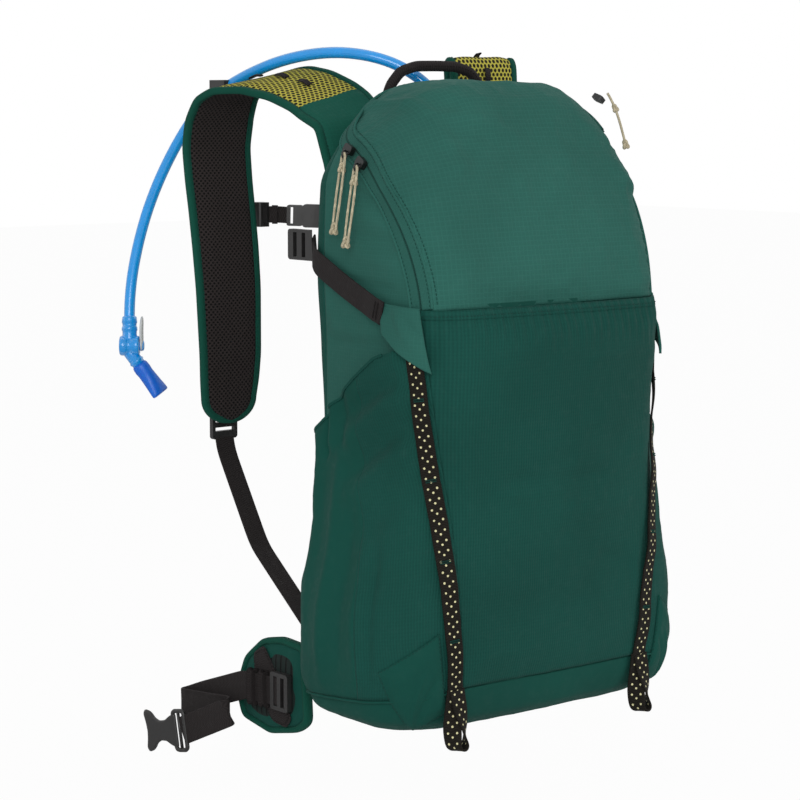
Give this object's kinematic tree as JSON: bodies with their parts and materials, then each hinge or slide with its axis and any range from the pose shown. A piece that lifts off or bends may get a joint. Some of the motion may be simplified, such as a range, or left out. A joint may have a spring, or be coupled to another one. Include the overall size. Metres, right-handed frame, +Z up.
{
  "type": "hydration pack",
  "caption": "Day pack with a zipped clamshell front, stretch pockets, padded shoulder straps, hip belt and an inner water reservoir with a drinking hose.",
  "frame": {"origin": "bearing point of the haul loop, the underside of its crown", "axes": "+Z up the pack, -Y out of its front, +Y towards the wearer"},
  "size_m": [0.3885, 0.4526, 0.6291],
  "materials": {
    "upper_fabric": "teal ripstop nylon",
    "lower_fabric": "ribbed stretch nylon",
    "base_fabric": "plain tight-woven nylon",
    "back_fabric": "plain nylon with mesh",
    "zip_tape": "coated zip tape",
    "webbing": "charcoal polyester webbing",
    "chain_webbing": "black webbing flecked with cream",
    "strap_fabric": "padded strap, mesh faced",
    "pad_mesh": "spacer mesh over foam",
    "loop_fabric": "tubular webbing",
    "buckle_plastic": "black acetal",
    "slider_metal": "painted zinc",
    "pull_cord": "beige braided cord",
    "hose_tube": "clear blue tube",
    "bite_silicone": "blue silicone",
    "valve_plastic": "pale clear plastic",
    "bladder": "clear blue film",
    "cap_plastic": "blue polypropylene",
    "lining": "grey lining"
  },
  "bodies": {
    "pack": {"back_panel": "back_fabric", "base_panel": "base_fabric", "front_wall": "base_fabric", "side_panel_left": "upper_fabric", "side_panel_right": "upper_fabric", "stash_pocket": "lower_fabric", "side_pocket_left": "lower_fabric", "side_pocket_right": "lower_fabric", "zip_tape_body": "zip_tape", "compression_strap_left": "webbing", "compression_strap_right": "webbing", "compression_buckle_left": "buckle_plastic", "compression_buckle_right": "buckle_plastic", "daisy_chain_left": "chain_webbing", "daisy_chain_right": "chain_webbing", "back_pad_left": "pad_mesh", "back_pad_right": "pad_mesh", "lumbar_pad": "pad_mesh", "haul_loop": "loop_fabric", "shoulder_strap_left": "strap_fabric", "shoulder_strap_right": "strap_fabric", "ladder_lock_left": "buckle_plastic", "ladder_lock_right": "buckle_plastic", "lower_webbing_left": "webbing", "lower_webbing_right": "webbing", "reservoir": "bladder", "reservoir_sleeve": "lining", "reservoir_hanger": "webbing", "hose_port": "cap_plastic", "hose": "hose_tube", "hose_clip": "buckle_plastic", "valve_body": "valve_plastic", "bite_valve": "bite_silicone"},
    "flap": {"front_flap": "upper_fabric", "zip_tape_flap": "zip_tape", "pocket_zip": "zip_tape"},
    "pocket_slider": {"pocket_slider": "slider_metal"},
    "pocket_pull": {"pull_cord_pocket": "pull_cord"},
    "upper_slider": {"main_slider_upper": "slider_metal"},
    "upper_pull": {"pull_cord_upper": "pull_cord"},
    "lower_slider": {"main_slider_lower": "slider_metal"},
    "lower_pull": {"pull_cord_lower": "pull_cord"},
    "sternum_strap": {"sternum_slider_left": "buckle_plastic", "sternum_slider_right": "buckle_plastic", "sternum_web_left": "webbing", "sternum_web_right": "webbing", "sternum_buckle_socket": "buckle_plastic", "sternum_buckle_prong": "buckle_plastic"},
    "hip_wing_left": {"hip_wing_left": "strap_fabric", "hip_patch_left": "webbing", "hip_ladder_lock_left": "buckle_plastic"},
    "hip_tail_left": {"hip_webbing_left": "webbing", "hip_buckle_prong": "buckle_plastic"},
    "hip_wing_right": {"hip_wing_right": "strap_fabric", "hip_patch_right": "webbing", "hip_ladder_lock_right": "buckle_plastic"},
    "hip_tail_right": {"hip_webbing_right": "webbing", "hip_buckle_socket": "buckle_plastic"},
    "shutoff_lever": {"shutoff_lever": "valve_plastic"},
    "reservoir_cap": {"reservoir_cap": "cap_plastic"}
  },
  "joints": [
    {"name": "flap_open", "type": "hinge", "parent": "pack", "child": "flap", "pos_m": [0, -0.177, -0.1905], "axis": [1, 0, 0], "range_deg": [0, 110]},
    {"name": "pocket_slider_run", "type": "slide", "parent": "flap", "child": "pocket_slider", "axis": [0, 0.96, 0.28], "range_m": [0, 0.036]},
    {"name": "pocket_pull_swing", "type": "hinge", "parent": "pocket_slider", "child": "pocket_pull", "pos_m": [0.101, -0.108, -0.0185], "axis": [0.6, -0.8, 0], "range_deg": [-30, 60]},
    {"name": "lower_slider_run", "type": "hinge", "parent": "pack", "child": "lower_slider", "pos_m": [-0.1, 0.017, -0.205], "axis": [0.973, -0.2183, 0.075], "range_deg": [0, 48]},
    {"name": "upper_slider_run", "type": "hinge", "parent": "pack", "child": "upper_slider", "pos_m": [-0.1, 0.017, -0.205], "axis": [0.973, -0.2183, 0.075], "range_deg": [0, 48]},
    {"name": "lower_pull_swing", "type": "hinge", "parent": "lower_slider", "child": "lower_pull", "pos_m": [-0.1363, -0.062, -0.0775], "axis": [1, 0, 0], "range_deg": [-60, 5]},
    {"name": "upper_pull_swing", "type": "hinge", "parent": "upper_slider", "child": "upper_pull", "pos_m": [-0.1331, -0.042, -0.0675], "axis": [1, 0, 0], "range_deg": [-5, 60]},
    {"name": "sternum_slide", "type": "slide", "parent": "pack", "child": "sternum_strap", "axis": [0, 0, 1], "range_m": [-0.025, 0.03]},
    {"name": "hip_wing_left_swing", "type": "hinge", "parent": "pack", "child": "hip_wing_left", "pos_m": [-0.133, 0.014, -0.5315], "axis": [0, 0, 1], "range_deg": [-50, 40]},
    {"name": "hip_tail_left_swing", "type": "hinge", "parent": "hip_wing_left", "child": "hip_tail_left", "pos_m": [-0.1428, 0.043, -0.5315], "axis": [0, 0, 1], "range_deg": [0, 60]},
    {"name": "hip_wing_right_swing", "type": "hinge", "parent": "pack", "child": "hip_wing_right", "pos_m": [0.133, 0.014, -0.5315], "axis": [0, 0, 1], "range_deg": [-40, 50]},
    {"name": "hip_tail_right_swing", "type": "hinge", "parent": "hip_wing_right", "child": "hip_tail_right", "pos_m": [0.1428, 0.043, -0.5315], "axis": [0, 0, 1], "range_deg": [-60, 0]},
    {"name": "shutoff_lever_turn", "type": "hinge", "parent": "pack", "child": "shutoff_lever", "pos_m": [-0.14715, 0.26077, -0.24818], "axis": [0.7659, -0.6429, 0], "range_deg": [0, 90]},
    {"name": "reservoir_cap_turn", "type": "hinge", "parent": "pack", "child": "reservoir_cap", "pos_m": [0, -0.039, -0.2145], "axis": [0, -1, 0], "range_deg": [0, 90]}
  ],
  "couplings": [
    {"joint": "upper_slider_run", "follows": "lower_slider_run", "ratio": 1}
  ]
}
